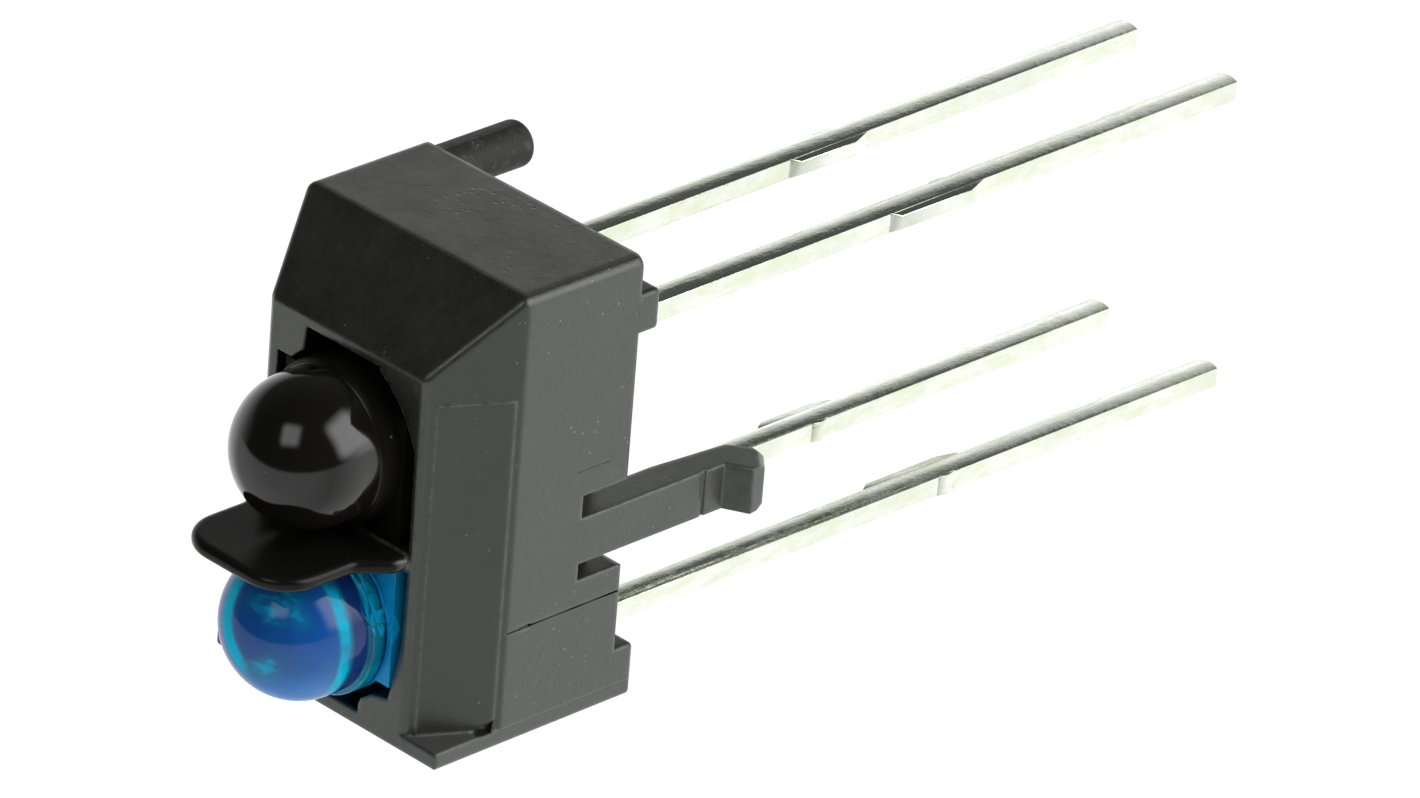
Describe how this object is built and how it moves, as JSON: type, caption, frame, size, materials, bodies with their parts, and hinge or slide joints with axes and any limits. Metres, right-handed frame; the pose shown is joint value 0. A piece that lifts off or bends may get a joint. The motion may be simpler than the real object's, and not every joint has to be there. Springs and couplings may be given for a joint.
{
  "type": "reflective optical sensor",
  "caption": "Reflective optical sensor with a blue emitter lens and a black detector lens in a black snap-in housing, with straight board leads.",
  "frame": {"origin": "centre of the housing's outline, on the plane of the foot tips that rest on the board", "axes": "+Z out of the board the way the lenses look, +X from the emitter towards the detector, +Y across the housing towards the side of the locating peg"},
  "size_m": [0.009, 0.0068, 0.0243],
  "materials": {
    "black_plastic": "matt moulded",
    "blue_epoxy": "clear blue, glossy",
    "black_epoxy": "glossy, dark to visible light",
    "tinned_steel": "tin plated, slightly scratched",
    "silicon": "polished",
    "silver_adhesive": "matt",
    "gold_wire": "bright"
  },
  "bodies": {
    "root": {"housing": "black_plastic", "emitter_body": "blue_epoxy", "detector_body": "black_epoxy", "emitter_anode_lead": "tinned_steel", "emitter_cathode_lead": "tinned_steel", "detector_collector_lead": "tinned_steel", "detector_emitter_lead": "tinned_steel", "emitter_adhesive": "silver_adhesive", "detector_adhesive": "silver_adhesive", "emitter_chip": "silicon", "detector_chip": "silicon", "emitter_bond_wire": "gold_wire", "detector_bond_wire": "gold_wire"}
  },
  "joints": []
}
